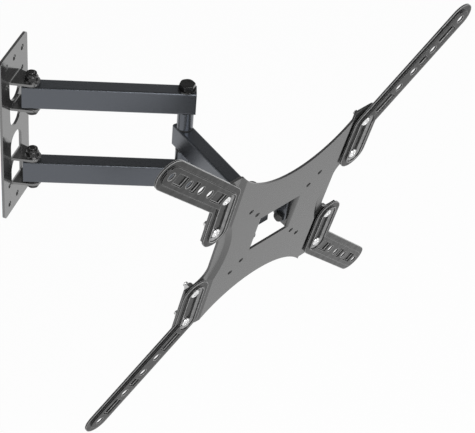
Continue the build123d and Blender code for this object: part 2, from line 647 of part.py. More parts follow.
def along_path(path, top, bottom):
    """Solid around a path; its half width changes evenly between two levels."""
    top_width, top_level = top
    low_width, low_level = bottom
    height = top_level - low_level
    middle = (top_level + low_level) / 2
    solid = Pos(*path[0], middle) * Cone(low_width, top_width, height)
    for start, end in zip(path, path[1:]):
        length = hypot(end[0] - start[0], end[1] - start[1])
        heading = degrees(atan2(end[1] - start[1], end[0] - start[0]))
        section = make_face(Polyline(
            (-low_width, low_level), (low_width, low_level),
            (top_width, top_level), (-top_width, top_level), close=True))
        solid += Pos(*start) * Rot(0, 0, heading) * extrude(Plane.YZ * section, length)
        solid += Pos(*end, middle) * Cone(low_width, top_width, height)
    return solid


def leg_point(distance):
    """Point on the diagonal leg, at an equal X and Y."""
    return distance, distance


def arm_paths():
    """Centre lines of an arm: its base beside the plate, and the base with its leg."""
    base = [(ARM_CORNER, ARM_CORNER - ARM_SCREW_PITCH), leg_point(ARM_CORNER)]
    return base, base + [leg_point(SCREEN_HOLES[-1])]


def pocket(start, end, level):
    """Sunk field in a leg, its four walls leaning outwards."""
    run = (end - start) * sqrt(2)
    spread = 2 * POCKET_SPREAD
    floor = Pos(0, 0, level - POCKET_DEPTH) * Rectangle(run, 2 * POCKET_HALF_WIDTH)
    mouth = Pos(0, 0, level) * Rectangle(run + spread, 2 * POCKET_HALF_WIDTH + spread)
    return Pos(*leg_point((start + end) / 2)) * Rot(0, 0, 45) * loft([floor, mouth])


def pressed_front(level):
    """Everything behind an arm's front surface, whose crest lies at a level."""
    base, path = arm_paths()
    flange = level - CREST_HEIGHT
    depth = 2 * (crest_level - floor_level + ARM_SHEET)
    width = ARM_HALF_WIDTH + ARM_SHEET
    body = along_path(path, (width, flange), (width + ARM_SHEET, flange - depth))
    body += along_path(path, (CREST_HALF_WIDTH, level), (CREST_HALF_WIDTH + CREST_SPREAD, flange))
    floor = (CHANNEL_HALF_WIDTH, level - crest_level + floor_level)
    body -= along_path(base, (CHANNEL_HALF_WIDTH + CHANNEL_SPREAD, level), floor)
    step = POCKET_MARGIN / sqrt(2)
    corner_step = CORNER_POCKET_MARGIN / sqrt(2)
    first, second, third, last = SCREEN_HOLES
    body -= pocket(ARM_CORNER + corner_step, first - step, level)
    body -= pocket(second + step, third - step, level)
    body -= pocket(third + step, last - step, level)
    return body


def arm_blank():
    """Upright trim of an arm's outline, with the bend's hollow corner left sharp."""
    outline = Sketch()
    for start, stop in zip(arm_paths()[1], arm_paths()[1][1:]):
        length = hypot(stop[0] - start[0], stop[1] - start[1])
        heading = degrees(atan2(stop[1] - start[1], stop[0] - start[0]))
        straight = Pos(length / 2, 0) * Rectangle(length, 2 * ARM_HALF_WIDTH)
        outline += Pos(*start) * Rot(0, 0, heading) * straight
        outline += Pos(*start) * Circle(ARM_HALF_WIDTH)
        outline += Pos(*stop) * Circle(ARM_HALF_WIDTH)
    return Pos(0, 0, -STEP_DEPTH) * extrude(outline, crest_level + STEP_DEPTH)


def extension_arm():
    """Arm of the top right corner: base beside the plate, leg along the diagonal."""
    arm = pressed_front(crest_level) - pressed_front(crest_level - ARM_SHEET)
    arm &= arm_blank()
    reach = 2 * SCREEN_HOLES[-1]
    for distance in SCREEN_HOLES:
        arm -= Pos(*leg_point(distance)) * Cylinder(SCREEN_HOLE / 2, reach)
    for y in (ARM_CORNER - ARM_SCREW_PITCH, ARM_CORNER):
        arm -= Pos(ARM_CORNER, y) * Cylinder(SCREW / 2 + BOLT_HOLE_CLEARANCE, reach)
    return arm


def pan_screw():
    """Screw with a rounded head on z = 0 and its shank below."""
    length = floor_level - strip_back + SCREW_TAIL
    head = rod(SCREW_HEAD_RADIUS, 0, SCREW_HEAD_HEIGHT)
    head = fillet(head.edges().group_by(Axis.Z)[-1], SCREW_HEAD_ROUNDING)
    for turn in (0, 90):
        slit = block(-CROSS_LENGTH / 2, CROSS_LENGTH / 2, -CROSS_WIDTH / 2, CROSS_WIDTH / 2,
                     SCREW_HEAD_HEIGHT - CROSS_DEPTH, SCREW_HEAD_HEIGHT)
        head -= Rot(0, 0, turn) * slit
    shank = rod(SCREW / 2, -length, 0)
    return head + chamfer(shank.edges().group_by(Axis.Z)[0], TIP_BEVEL * SCREW)


def head_parts():
    """Head plate, extension arms and their screws."""
    arm = extension_arm()
    left = mirror(arm, Plane.YZ)
    washer_top = strip_back
    nut_top = strip_back - SCREW_WASHER
    washer = ring(SCREW_WASHER_RADIUS, SCREW / 2 + BOLT_HOLE_CLEARANCE, nut_top, washer_top)
    nut = bolt_head(SCREW_NUT_FLATS, SCREW_NUT_HEIGHT) - rod(SCREW / 2 + SEAT_CLEARANCE, 0, SCREW_NUT_HEIGHT)
    nut = Pos(0, 0, nut_top) * Rot(180, 0, 0) * nut
    screw = Pos(0, 0, floor_level) * pan_screw()
    places = [Pos(x, y, 0) for x, y in screw_places()]
    parts = {
        "vesa_plate": [vesa_plate()],
        "extension_arm_top_right": [arm],
        "extension_arm_top_left": [left],
        "extension_arm_bottom_right": [mirror(arm, Plane.XZ)],
        "extension_arm_bottom_left": [mirror(left, Plane.XZ)],
        "extension_screws": [place * screw for place in places],
        "extension_nuts": [place * nut for place in places],
        "extension_washers": [place * washer for place in places],
    }
    return placed(parts, face_frame)


def placed(parts, frame):
    """The same pieces in one moving frame."""
    return {name: [frame * piece for piece in pieces] for name, pieces in parts.items()}


def solids_of(pieces):
    """All solids of a list of shapes."""
    return [solid for piece in pieces for solid in piece.solids()]


def main():
    os.makedirs("parts", exist_ok=True)
    nodes = {"wall_plate": [wall_plate()]}
    nodes.update(pivot_hardware())
    nodes.update(arm_parts())
    nodes.update(forearm_parts())
    nodes.update(bracket_parts())
    nodes.update(head_parts())
    for name, pieces in nodes.items():
        export_step(Compound(children=solids_of(pieces)), f"parts/{name}.step")
    # Places that the joints and mounts are set at.
    for label, frame in (("elbow", forearm_frame), ("swivel", bracket_frame),
                         ("tilt", tilt_frame), ("plate", plate_frame)):
        place = frame.position
        print(label, round(place.X, 3), round(place.Y, 3), round(place.Z, 3))


main()
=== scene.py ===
# %% [markdown]
# # A full-motion screen mount, dressed for the studio
# The CAD model of the mount is loaded as a fixed frame: a wall plate, a pair of
# arm tubes, a forearm, a tilting bracket and an X-shaped head plate with four
# extension arms. Its shapes stay as they are. This script gives every part its
# paint or plating, cuts real threads on the bolts and screws, and sets up the
# floor, the lamps and the camera.

# %% Load the mount
import json

import bpy
import numpy as np
from mathutils import Matrix, Vector


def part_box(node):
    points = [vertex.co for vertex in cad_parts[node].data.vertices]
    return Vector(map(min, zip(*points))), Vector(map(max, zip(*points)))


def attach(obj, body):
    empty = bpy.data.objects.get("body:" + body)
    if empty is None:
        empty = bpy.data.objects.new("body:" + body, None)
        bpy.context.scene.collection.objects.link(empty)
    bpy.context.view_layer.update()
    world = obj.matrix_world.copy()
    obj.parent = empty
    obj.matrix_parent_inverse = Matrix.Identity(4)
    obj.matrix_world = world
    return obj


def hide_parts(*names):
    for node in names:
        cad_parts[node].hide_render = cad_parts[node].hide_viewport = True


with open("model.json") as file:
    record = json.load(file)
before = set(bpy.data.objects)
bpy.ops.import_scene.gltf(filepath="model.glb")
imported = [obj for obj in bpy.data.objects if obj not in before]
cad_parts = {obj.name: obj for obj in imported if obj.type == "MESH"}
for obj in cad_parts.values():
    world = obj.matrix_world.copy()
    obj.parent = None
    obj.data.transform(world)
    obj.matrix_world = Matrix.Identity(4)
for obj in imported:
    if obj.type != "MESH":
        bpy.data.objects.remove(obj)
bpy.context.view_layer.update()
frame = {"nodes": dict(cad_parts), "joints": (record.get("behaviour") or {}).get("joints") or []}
nodes = frame["nodes"]

# %% [markdown]
# ## Shader maths that reads like maths
# A material is a net of nodes. Written out by hand, even 1 - mask * 0.2 takes a
# dozen lines. A small class around a socket lets Python's own operators add the
# Math nodes, so a finish below reads like its formula.

# %% A socket that can be calculated with
class Wire:
    """A socket's output; each operator adds one Math node and returns its result."""

    def __init__(self, tree, socket):
        self.tree = tree
        self.socket = socket

    def maths(self, operation, *terms):
        node = self.tree.nodes.new("ShaderNodeMath")
        node.operation = operation
        for place, term in zip(node.inputs, terms):
            if isinstance(term, Wire):
                self.tree.links.new(term.socket, place)
            else:
                place.default_value = term
        return Wire(self.tree, node.outputs[0])

    def __add__(self, other):
        return self.maths("ADD", self, other)

    def __radd__(self, other):
        return self.maths("ADD", other, self)

    def __sub__(self, other):
        return self.maths("SUBTRACT", self, other)

    def __rsub__(self, other):
        return self.maths("SUBTRACT", other, self)

    def __mul__(self, other):
        return self.maths("MULTIPLY", self, other)

    def __rmul__(self, other):
        return self.maths("MULTIPLY", other, self)

    def bounded(self, low, high):
        """This value, held between two limits."""
        return self.maths("MAXIMUM", self.maths("MINIMUM", self, high), low)


# %% [markdown]
# ## One way to add any other node
# Noise, ramps, bumps and the surface itself all come from one method. It takes
# the node's type, then its settings, then what goes into its sockets. Settings
# come first, because some of them change which sockets a node has.

# %% A finish and its nodes
class Finish:
    """A material in the making, with the coordinates of the whole mount."""

    def __init__(self, name):
        self.material = bpy.data.materials.new(name)
        self.material.use_nodes = True
        self.tree = self.material.node_tree
        self.tree.nodes.clear()
        self.place = self.node("ShaderNodeTexCoord", out="Object")

    def node(self, kind, settings=None, sockets=None, out=0):
        """A node of that type, with its settings, then its socket values or links."""
        node = self.tree.nodes.new(kind)
        for name, value in (settings or {}).items():
            setattr(node, name, value)
        for name, value in (sockets or {}).items():
            if isinstance(value, Wire):
                self.tree.links.new(value.socket, node.inputs[name])
            else:
                node.inputs[name].default_value = value
        return Wire(self.tree, node.outputs[out]) if node.outputs else None

    def noise(self, scale, detail=2.0, roughness=0.5, place=None):
        """Cloudy pattern from 0 to 1, with about scale spots to the metre."""
        return self.node("ShaderNodeTexNoise", {}, {
            "Vector": place or self.place, "Scale": scale,
            "Detail": detail, "Roughness": roughness})

    def stretched(self, turn, scale):
        """The mount's coordinates, turned about Z by an angle and scaled per axis."""
        return self.node("ShaderNodeMapping", {"vector_type": "POINT"}, {
            "Vector": self.place, "Rotation": (0.0, 0.0, turn), "Scale": scale})

    def between(self, low, high, value):
        """0 below low, 1 above high and a soft step between them."""
        return self.node("ShaderNodeMapRange", {"interpolation_type": "SMOOTHSTEP"}, {
            "Value": value, "From Min": low, "From Max": high, "To Min": 0.0, "To Max": 1.0})

    def blended(self, amount, first, second):
        """Colour that goes from the first to the second as amount goes from 0 to 1."""
        return self.node("ShaderNodeMix", {"data_type": "RGBA"},
                         {0: amount, 6: first, 7: second}, out=2)

    def rounded(self, radius):
        """Normals that run softly round every edge, as if it had that radius."""
        return self.node("ShaderNodeBevel", {"samples": 6}, {"Radius": radius})

    def edges(self, soft):
        """1 on the edges and 0 on flat faces: where the soft normal leaves the true one."""
        true = self.node("ShaderNodeNewGeometry", out="Normal")
        agreement = self.node("ShaderNodeVectorMath", {"operation": "DOT_PRODUCT"},
                              {0: true, 1: soft}, out="Value")
        return self.between(0.02, 0.22, 1.0 - agreement)

    def ridges(self, reach):
        """1 on outward edges only: short feelers into the metal meet its next face there."""
        free = self.node("ShaderNodeAmbientOcclusion",
                         {"inside": True, "only_local": True, "samples": 12},
                         {"Distance": reach}, out="AO")
        return self.between(0.12, 0.42, 1.0 - free)

    def surface(self, varying, fixed, bumps, soft):
        """Finishes the material: varying sockets, fixed sockets and a bumped normal."""
        height, depth = bumps
        normal = self.node("ShaderNodeBump", {}, {
            "Height": height, "Strength": 1.0, "Distance": depth, "Normal": soft})
        shader = self.node("ShaderNodeBsdfPrincipled", {}, {**varying, **fixed, "Normal": normal})
        self.node("ShaderNodeOutputMaterial", {}, {"Surface": shader})
        return self.material


def grey(value, warmth=0.0):
    """A grey, as linear colour; warmth above 0 leans to red and below 0 to blue."""
    return (value * (1 + warmth), value, value * (1 - warmth), 1.0)


# %% [markdown]
# ## Black powder coat
# The tubes, the wall plate, the bracket and the head plate are sprayed with dry
# black powder that melts in an oven. It dries to a satin skin with a fine orange
# peel, pulls thin over sharp edges and picks up a little dust. An image of paint
# would slide and tile, so here noise in the mount's own coordinates gives the
# peel as bumps, the cloudiness as roughness, and the edge mask gives the wear.

# %% Powder coat
DUST = grey(0.16)
WORN_PAINT = grey(0.13)


def powder_coat(name, shade, gloss, peel, ior, warmth):
    """Satin black paint: its grey, its roughness, the depth of its orange peel in
    metres, and the strength and hue of its sheen."""
    paint = Finish(name)
    soft = paint.rounded(0.0006)
    edge = paint.edges(soft)
    cloud = paint.noise(9.0, 3.0)
    grain = paint.noise(900.0, 2.0)
    specks = paint.noise(2600.0, 1.0)
    fleck = paint.between(0.71, 0.77, specks)
    scuff = edge * paint.between(0.45, 0.7, paint.noise(160.0, 4.0, 0.65))
    tone = paint.blended(cloud, grey(shade * 0.82, warmth), grey(shade * 1.2, warmth))
    dusted = paint.blended(fleck * 0.25, tone, DUST)
    wear_and_highlight = paint.blended(scuff * 0.55, dusted, WORN_PAINT)
    rough = (gloss + (cloud - 0.5) * 0.10 + (grain - 0.5) * 0.10
             - scuff * 0.05).bounded(0.05, 0.9)
    height = grain * 0.7 + specks * 0.3
    sheen = {"Metallic": 0.0, "IOR": ior,
             "Specular Tint": (1.0 + 3 * warmth, 1.0 + 2 * warmth, 1.0, 1.0)}
    return paint.surface({"Base Color": wear_and_highlight, "Roughness": rough}, sheen, (height, peel), soft)


frame_coat = powder_coat("black_powder_coat", shade=0.022, gloss=0.24,
                         peel=0.000012, ior=2.05, warmth=-0.06)
plate_coat = powder_coat("head_plate_coat", shade=0.036, gloss=0.26,
                         peel=0.000015, ior=1.85, warmth=0.0)
wall_coat = powder_coat("wall_plate_coat", shade=0.034, gloss=0.16,
                        peel=0.000012, ior=2.5, warmth=0.0)
print("powder coats made")

# %% [markdown]
# ## Stove enamel on the pressed arms
# The extension arms are pressed from thin sheet and look wetter than the rest,
# with white lines of light along their rims. They get a smoother, glossier black
# with shallow waves from the press. The lines of light are a painted highlight:
# their outward edges are painted pale, and this mask feels for the next face
# through the metal and leaves hollow corners dark.

# %% Enamel
RIM_REACH = 0.0012
PAINTED_RIM_HIGHLIGHT = grey(0.45)
PRESS_WAVE = 0.0008


def enamel(name):
    """Glossy black over pressed sheet: long shallow waves, and thin rims painted pale as a painted
    highlight.
    """
    paint = Finish(name)
    soft = paint.rounded(RIM_REACH)
    wave = paint.noise(45.0, 2.0)
    grain = paint.noise(1300.0, 2.0)
    patches = paint.between(0.35, 0.62, paint.noise(120.0, 3.0, 0.6))
    # painted highlight: the outward edges get pale colour, patchy in strength, in place of reflected
    # light
    rim_highlight = paint.ridges(RIM_REACH) * (0.75 + patches * 0.25)
    tone = paint.blended(paint.noise(14.0, 3.0), grey(0.004), grey(0.009))
    # painted highlight: the pale rims are mixed over the black tone
    wear_and_highlight = paint.blended(rim_highlight * 0.8, tone, PAINTED_RIM_HIGHLIGHT)
    rough = (0.14 + (wave - 0.5) * 0.08 + (grain - 0.5) * 0.04).bounded(0.05, 0.8)
    height = wave * 0.9 + grain * 0.02
    return paint.surface({"Base Color": wear_and_highlight, "Roughness": rough},
                         {"Metallic": 0.0, "IOR": 1.27}, (height, PRESS_WAVE), soft)


arm_enamel = enamel("pressed_arm_enamel")
print("enamel made")

# %% [markdown]
# ## Blackened, plated and moulded small parts
# Bolts and nuts are blackened steel: dark metal under oil, so their highlights
# are sharp and their corners rub bright. The eight screws of the extension arms
# are chromed. Bushes, plugs and nut inserts are moulded nylon with a faint
# eroded texture, and washers are zinc plated with a crystalline bloom.

# %% Blackened steel
def blackened(name):
    """Dark metal with oil gloss; corners rubbed to lighter steel."""
    steel = Finish(name)
    soft = steel.rounded(0.0004)
    rub = steel.edges(soft) * steel.between(0.35, 0.65, steel.noise(500.0, 4.0, 0.7))
    cloud = steel.noise(240.0, 3.0)
    tone = steel.blended(cloud, grey(0.035), grey(0.075))
    wear_and_highlight = steel.blended(rub * 0.6, tone, grey(0.32))
    rough = (0.24 + (cloud - 0.5) * 0.2 + rub * 0.1).bounded(0.08, 0.8)
    grain = steel.noise(3000.0, 2.0)
    return steel.surface({"Base Color": wear_and_highlight, "Roughness": rough},
                         {"Metallic": 0.85}, (grain, 0.00002), soft)


# %% Bright plating
def plated(name, shade, gloss, bloom):
    """Bright metal whose roughness drifts in small crystals."""
    metal = Finish(name)
    soft = metal.rounded(0.0003)
    crystals = metal.node("ShaderNodeTexVoronoi", {"feature": "F1"}, {
        "Vector": metal.place, "Scale": 700.0, "Randomness": 1.0})
    cloud = metal.noise(320.0, 3.0)
    tone = metal.blended(cloud, grey(shade * 0.86, 0.01), grey(shade, -0.01))
    rough = (gloss + (crystals - 0.4) * bloom + (cloud - 0.5) * 0.08).bounded(0.04, 0.8)
    scratch = metal.noise(1.0, 2.0, 0.5, metal.stretched(0.4, (6000.0, 500.0, 500.0)))
    return metal.surface({"Base Color": tone, "Roughness": rough},
                         {"Metallic": 1.0}, (scratch, 0.000012), soft)


# %% Moulded nylon
def nylon(name):
    """Matt black plastic with the fine texture of an eroded mould."""
    plastic = Finish(name)
    soft = plastic.rounded(0.0005)
    grain = plastic.noise(1800.0, 3.0)
    cloud = plastic.noise(60.0, 2.0)
    tone = plastic.blended(cloud, grey(0.014), grey(0.026))
    rough = (0.48 + (grain - 0.5) * 0.16 + (cloud - 0.5) * 0.1).bounded(0.2, 0.9)
    return plastic.surface({"Base Color": tone, "Roughness": rough},
                           {"Metallic": 0.0, "IOR": 1.53}, (grain, 0.00005), soft)


bolt_black = blackened("blackened_steel")
screw_chrome = plated("bright_screw_plating", shade=0.86, gloss=0.12, bloom=0.08)
zinc = plated("zinc_plating", shade=0.62, gloss=0.28, bloom=0.30)
moulded = nylon("black_nylon")
print("small-part finishes made")

# %% [markdown]
# ## Which part wears which finish
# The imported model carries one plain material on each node. Emptying the slots and
# adding the new finish swaps it without touching the mesh.

# %% Dress the parts
arm_corners = ("top_right", "top_left", "bottom_right", "bottom_left")
worn_by = [
    (wall_coat, ["wall_plate"]),
    (plate_coat, ["vesa_plate"]),
    (frame_coat, ["arm_tube_upper", "arm_tube_lower", "forearm_tube", "head_bracket",
                  "elbow_spacers"]),
    (arm_enamel, ["extension_arm_" + corner for corner in arm_corners]),
    (bolt_black, ["pivot_bolts", "pivot_nuts", "elbow_bolt", "elbow_nut", "elbow_washers",
                  "swivel_bolt", "swivel_nut", "swivel_washers",
                  "tilt_bolts", "tilt_nuts", "tilt_washers"]),
    (screw_chrome, ["extension_screws"]),
    (zinc, ["extension_nuts", "extension_washers", "arm_crush_sleeves"]),
]
finish_of = {name: finish for finish, names in worn_by for name in names}
for name, part in nodes.items():
    part.data.materials.clear()
    part.data.materials.append(finish_of.get(name, moulded))
print("dressed:", len(finish_of), "by name, the rest in nylon:", len(nodes) - len(finish_of))

# %% [markdown]
# ## Turning a bolt on a grid
# A bolt is a shape of revolution that cheats twice: its head is a hexagon, and
# its thread winds. Both fit one grid of heights and angles, where each point
# only needs its distance from the axis. So one array holds the whole bolt, and
# the two ends close on a single point each.

# %% Lathe
COLUMNS = 48
TURN = 2 * np.pi


def lathe(radius, height):
    """Closed surface from two grids of rows and columns: a point lies at radius
    from the axis, at the column's share of a full turn, and at height along the
    axis. Rows run upwards, and the first and last row close on the axis."""
    rows, columns = radius.shape
    angle = np.arange(columns) * TURN / columns
    points = np.stack([radius * np.cos(angle), radius * np.sin(angle), height], -1).reshape(-1, 3)
    ends = np.array([[0, 0, height[0].mean()], [0, 0, height[-1].mean()]])
    row, column = np.meshgrid(np.arange(rows - 1), np.arange(columns), indexing="ij")
    beside = (column + 1) % columns
    quads = np.stack([row * columns + column, row * columns + beside,
                      (row + 1) * columns + beside, (row + 1) * columns + column], -1).reshape(-1, 4)
    first = np.arange(columns)
    after = (first + 1) % columns
    low, high = rows * columns, rows * columns + 1
    top = (rows - 1) * columns
    under = np.stack([np.full(columns, low), after, first], -1)
    over = np.stack([np.full(columns, high), top + first, top + after], -1)
    return np.concatenate([points, ends]), quads, np.concatenate([under, over])


# %% [markdown]
# ## Putting copies into one mesh
# Eight screws are one node in the CAD model, so they are one piece here too.
# Each copy gets its place and direction in the mesh, and the object itself
# stays at the origin, where the export needs it.

# %% Copies in place
def frame_along(axis, hint=(0.0, 0.0, 1.0)):
    """Three columns: two sides and the axis, all square to each other."""
    up = np.array(axis, float) / np.linalg.norm(axis)
    side = np.cross(hint, up)
    if np.linalg.norm(side) < 1e-6:
        side = np.cross((1.0, 0.0, 0.0), up)
    side /= np.linalg.norm(side)
    return np.stack([side, np.cross(up, side), up], 1)


def piece_of(name, shape, places, finish, body, replaced):
    """One mesh of a shape's copies, each turned by a 3 x 3 frame and moved to a point."""
    points, quads, fans = shape
    count = len(points)
    spots = np.concatenate([points @ turn.T + np.array(point) for point, turn in places])
    steps = np.arange(len(places))[:, None, None] * count
    all_quads = (quads[None] + steps).reshape(-1, 4)
    all_fans = (fans[None] + steps).reshape(-1, 3)
    mesh = bpy.data.meshes.new(name)
    mesh.from_pydata(spots.tolist(), [], all_quads.tolist() + all_fans.tolist())
    mesh.polygons.foreach_set("use_smooth", np.ones(len(mesh.polygons), bool))
    mesh.set_sharp_from_angle(angle=np.radians(32))
    mesh.materials.append(finish)
    mesh.validate()
    piece = bpy.data.objects.new(name, mesh)
    bpy.context.scene.collection.objects.link(piece)
    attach(piece, body)
    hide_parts(replaced)
    print(name, "copies", len(places), "faces", len(mesh.polygons))
    return piece


# %% [markdown]
# ## Hexagon bolts with cut threads
# The wall pivots, the elbow, the swivel and the tilt are held by hexagon bolts.
# A painted-on stripe would vanish at the edge of the shank, where a thread shows
# best, so the groove is real: the radius dips with the height minus the turn.

# %% Bolt shape
GROOVE_DEPTH = 0.55       # of the pitch
GROOVE_SLOPE = 2.6
TIP_SHARE = 0.8           # of the shank's radius, at the end face
HEX_CORNER = 0.5774       # of the flats, where a hexagon has its corners
HEAD_UNDERSIDE = 0.55     # of the flats, where the head meets what it clamps
HEAD_FOOT = 0.575         # of the flats, just above the underside
DOME_START = 0.70         # of the head's height
DOME_RISE = 0.30          # of the head's height
DOME_CUT = 0.10           # of the flats, turned off the corners at the top
HEAD_TOP = 0.40           # of the flats, the radius of the flat top


def threaded(radius, pitch, heights, low, high):
    """Radius of a thread: the groove is deepest where height over pitch minus the
    share of a turn lies halfway between whole numbers. It runs out at both ends."""
    share = np.arange(COLUMNS) / COLUMNS
    phase = (heights[:, None] / pitch - share) % 1.0
    groove = np.clip(1.0 - GROOVE_SLOPE * np.abs(phase - 0.5), 0.0, 1.0)
    fade = np.clip(np.minimum(heights - low, high - heights) / pitch, 0.0, 1.0)[:, None]
    return radius - GROOVE_DEPTH * pitch * groove * fade


def hexagon(flats):
    """Distance to a hexagon's side: half the flats over the cosine from its middle."""
    angle = np.arange(COLUMNS) * TURN / COLUMNS
    return flats / 2 / np.cos((angle + TURN / 12) % (TURN / 6) - TURN / 12)


def hex_bolt(diameter, pitch, flats, head, length, threads):
    """Bolt from its tip at -length, through a thread and a plain shank, to a
    hexagon head above 0 whose corners are turned off by a shallow dome."""
    radius = diameter / 2
    run = np.linspace(-length + 0.1 * diameter, -length + threads, int(threads / pitch * 8))
    tip = np.full(COLUMNS, radius * TIP_SHARE)
    rows = [tip, tip, *threaded(radius, pitch, run, run[0] - pitch, run[-1])]
    levels = [-length, -length, *run]
    six = hexagon(flats)
    rows += [np.full(COLUMNS, radius), np.minimum(six, flats * HEAD_UNDERSIDE),
             np.minimum(six, flats * HEAD_FOOT)]
    levels += [0.0, 0.0, 0.05 * head]
    for step in np.linspace(0.0, 1.0, 7):
        rows.append(np.minimum(six, flats * (HEX_CORNER - DOME_CUT * step ** 2)))
        levels.append(head * (DOME_START + DOME_RISE * np.sin(step * np.pi / 2)))
    rows.append(np.full(COLUMNS, flats * HEAD_TOP))
    levels.append(head)
    height = np.repeat(np.array(levels)[:, None], COLUMNS, 1)
    return lathe(np.array(rows), height)


# %% [markdown]
# ## Where the bolts sit
# Each bolt turns about a joint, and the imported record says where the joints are.
# The boxes of the CAD nodes give how high and how deep the bolts reach.

# %% Bolts of the joints
MM = 0.001
TUBE_SPACING = 102.6 * MM
THREADED_SHARE = 0.55

# Each size is a diameter, a pitch, a width across flats and a head's height.
M6 = (6 * MM, 1.0 * MM, 10 * MM, 4 * MM)
M8 = (8 * MM, 1.25 * MM, 13 * MM, 5.3 * MM)
M10 = (10 * MM, 1.5 * MM, 16 * MM, 6.4 * MM)

joint = {one["name"]: one for one in frame["joints"]}


def upright_bolt(name, joint_name, size, body, upside_down=False, levels=None):
    """A bolt on a joint's upright axis, one for each pair of lowest and highest point."""
    head = size[-1]
    x, y, _ = joint[joint_name]["pos_m"]
    low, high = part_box(name)
    spans = levels or [(low.z, high.z)]
    sense = -1.0 if upside_down else 1.0
    turn = frame_along((0.0, 0.0, sense))
    places = [((x, y, span[0] + head if upside_down else span[1] - head), turn)
              for span in spans]
    length = spans[0][1] - spans[0][0] - head
    shape = hex_bolt(*size, length, THREADED_SHARE * length)
    return piece_of(name + "_threaded", shape, places, bolt_black, body, name)


pivot_low, pivot_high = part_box("pivot_bolts")
upright_bolt("pivot_bolts", "wall_swing", M8, "wall", True,
             [(pivot_low.z, pivot_high.z - TUBE_SPACING),
              (pivot_low.z + TUBE_SPACING, pivot_high.z)])
upright_bolt("elbow_bolt", "elbow", M10, "arm")
upright_bolt("swivel_bolt", "head_swivel", M10, "bracket")

# %% [markdown]
# ## Bolts of the tilt
# Four short bolts run out through the bracket's cheeks and the head plate's ears:
# one pair on the tilt axis, and one pair below it that slides in the ears' slots.
# The tilt joint gives the axis, so both pairs are placed from that one line.

# %% Tilt bolts
LOCK_BOLT_BACK = 2.388 * MM
LOCK_BOLT_BELOW = 26.62 * MM
CHEEK_INSIDE = 22.5 * MM
TILT_BOLT_LENGTH = 16.5 * MM
TILT_BOLT_THREAD = 9 * MM

tilt_point = np.array(joint["head_tilt"]["pos_m"])
tilt_axis = np.array(joint["head_tilt"]["axis"])
forward = np.array((tilt_axis[1], -tilt_axis[0], 0.0))
lock_point = tilt_point - LOCK_BOLT_BACK * forward - np.array((0.0, 0.0, LOCK_BOLT_BELOW))
tilt_places = [(point + side * CHEEK_INSIDE * tilt_axis, frame_along(-side * tilt_axis))
               for point in (tilt_point, lock_point) for side in (1, -1)]
tilt_shape = hex_bolt(*M6, TILT_BOLT_LENGTH, TILT_BOLT_THREAD)
piece_of("tilt_bolts_threaded", tilt_shape, tilt_places, bolt_black, "bracket", "tilt_bolts")

# %% [markdown]
# ## Cross-head screws
# Eight chromed screws clamp the extension arms. The head is a shallow dome with a
# cross pressed into it. On the grid of rings, the cross is a dip in height
# wherever a point lies near one of two lines, so it needs no cutting tool.

# %% Screw shape
SCREW_HEAD_RADIUS = 5.5 * MM
SCREW_HEAD = 3.2 * MM
DOME_DROP = 1.8 * MM
CROSS_HALF_WIDTH = 0.85 * MM
CROSS_WALL = 0.25 * MM
CROSS_REACH = 3.3 * MM
CROSS_DEPTH = 1.6 * MM


def cross_screw(radius, pitch, length, threads):
    """Screw from its tip, through its thread, to a domed head with a cross: each
    ring on the dome sinks by the cross's depth near the lines x = 0 and y = 0."""
    run = np.linspace(-length + 0.1 * radius, -length + threads, int(threads / pitch * 6))
    tip = np.full(COLUMNS, radius * TIP_SHARE)
    rows = [tip, tip, *threaded(radius, pitch, run, run[0] - pitch, run[-1]),
            np.full(COLUMNS, radius), np.full(COLUMNS, SCREW_HEAD_RADIUS)]
    levels = [np.full(COLUMNS, level) for level in [-length, -length, *run, 0.0, 0.0]]
    angle = np.arange(COLUMNS) * TURN / COLUMNS
    for share in np.linspace(1.0, 0.03, 22):
        ring = share * SCREW_HEAD_RADIUS
        dome = SCREW_HEAD - DOME_DROP * (1.0 - np.sqrt(1.0 - share ** 4))
        x, y = np.abs(ring * np.cos(angle)), np.abs(ring * np.sin(angle))
        near = np.clip((CROSS_HALF_WIDTH - np.minimum(x, y)) / CROSS_WALL, 0.0, 1.0)
        rows.append(np.full(COLUMNS, ring))
        levels.append(dome - CROSS_DEPTH * near * (ring < CROSS_REACH))
    return lathe(np.array(rows), np.array(levels))


# %% [markdown]
# ## Placing the screws
# The screws stand square on the head plate, four down each side. The tilt joint
# gives a point and the sideways direction. The plate's slope, and how far its
# middle lies from that joint, give the rest.

# %% Extension screws
TILT = np.radians(12.65)
PLATE_AHEAD = 14.0 * MM
PLATE_BELOW = 12.0 * MM
SCREW_SEAT = -1.5 * MM
SCREW_RADIUS = 3 * MM
SCREW_PITCH = 1.0 * MM
SCREW_LENGTH = 14.5 * MM
SCREW_THREAD = 12 * MM
SCREWS_ACROSS = (-100, 100)
SCREWS_UP = (-100, -50, 50, 100)

plate_out = np.cos(TILT) * forward - np.array((0.0, 0.0, np.sin(TILT)))
plate_up = np.sin(TILT) * forward + np.array((0.0, 0.0, np.cos(TILT)))
plate_middle = tilt_point + PLATE_AHEAD * plate_out - PLATE_BELOW * plate_up
screw_frame = frame_along(plate_out, plate_up)
screw_places = [
    (plate_middle + x * MM * tilt_axis + y * MM * plate_up + SCREW_SEAT * plate_out,
     screw_frame)
    for x in SCREWS_ACROSS for y in SCREWS_UP]
screw_shape = cross_screw(SCREW_RADIUS, SCREW_PITCH, SCREW_LENGTH, SCREW_THREAD)
piece_of("extension_screws_threaded", screw_shape, screw_places, screw_chrome, "head",
         "extension_screws")

# %% [markdown]
# ## The floor and the light
# The photograph is a plain studio shot: white all round, soft light, and black
# paint that shows the white it reflects. Black paint has almost no colour of its
# own, so the white room does the work. The floor and the world are white to the
# camera and to reflections, while the lamps stay at a plain level. To matt
# surfaces the world is less than half as bright, so the lamps still shape them.
# Only the ceiling is dark to reflections, because the tubes' tops look up at it
# and are much darker in the photograph than their sides.

# %% White room
DIFFUSE_LEVEL = 0.42
CEILING_START = 0.2
CEILING_SLOPE = 2.5
CEILING_DARKNESS = 0.9

